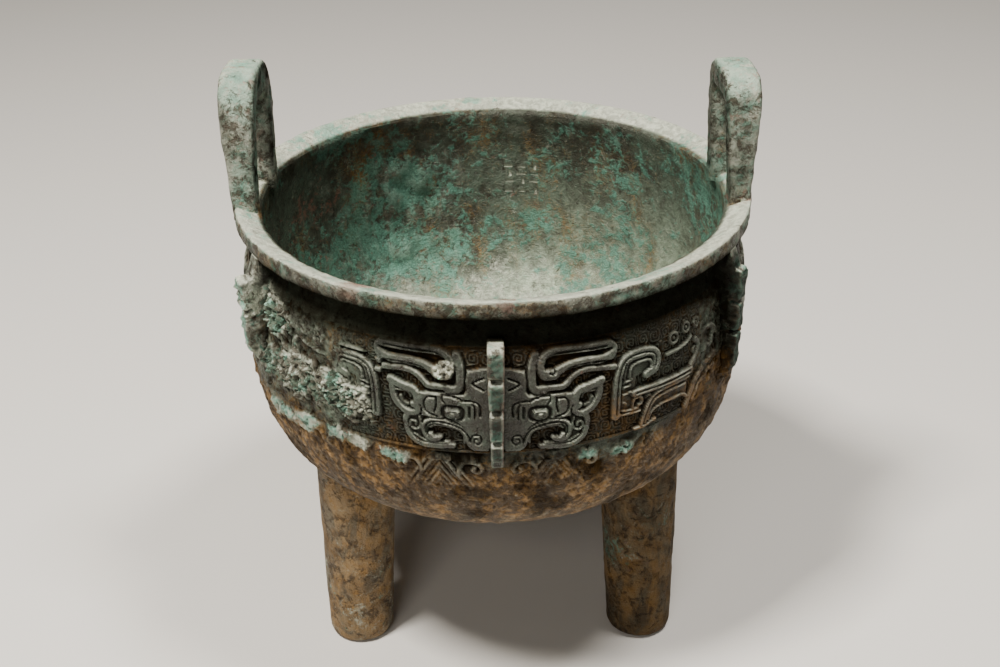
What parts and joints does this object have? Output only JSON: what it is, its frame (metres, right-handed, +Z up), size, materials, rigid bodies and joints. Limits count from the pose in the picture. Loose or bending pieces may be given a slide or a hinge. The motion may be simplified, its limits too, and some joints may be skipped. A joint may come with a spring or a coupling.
{
  "type": "bronze ding vessel",
  "caption": "Round-bellied bronze tripod cauldron with a flat everted lip, upright loop ears, notched flanges and animal-mask relief, for holding food.",
  "frame": {"origin": "on the floor under the axis of the bowl", "axes": "+Z up along the bowl's axis, -Y to the front mask, the ears at +X and -X"},
  "size_m": [0.1928, 0.206, 0.23],
  "materials": {
    "bronze": "cast bronze with a matt green, grey and brown patina"
  },
  "bodies": {
    "root": {"ding_vessel": "bronze"}
  },
  "joints": []
}
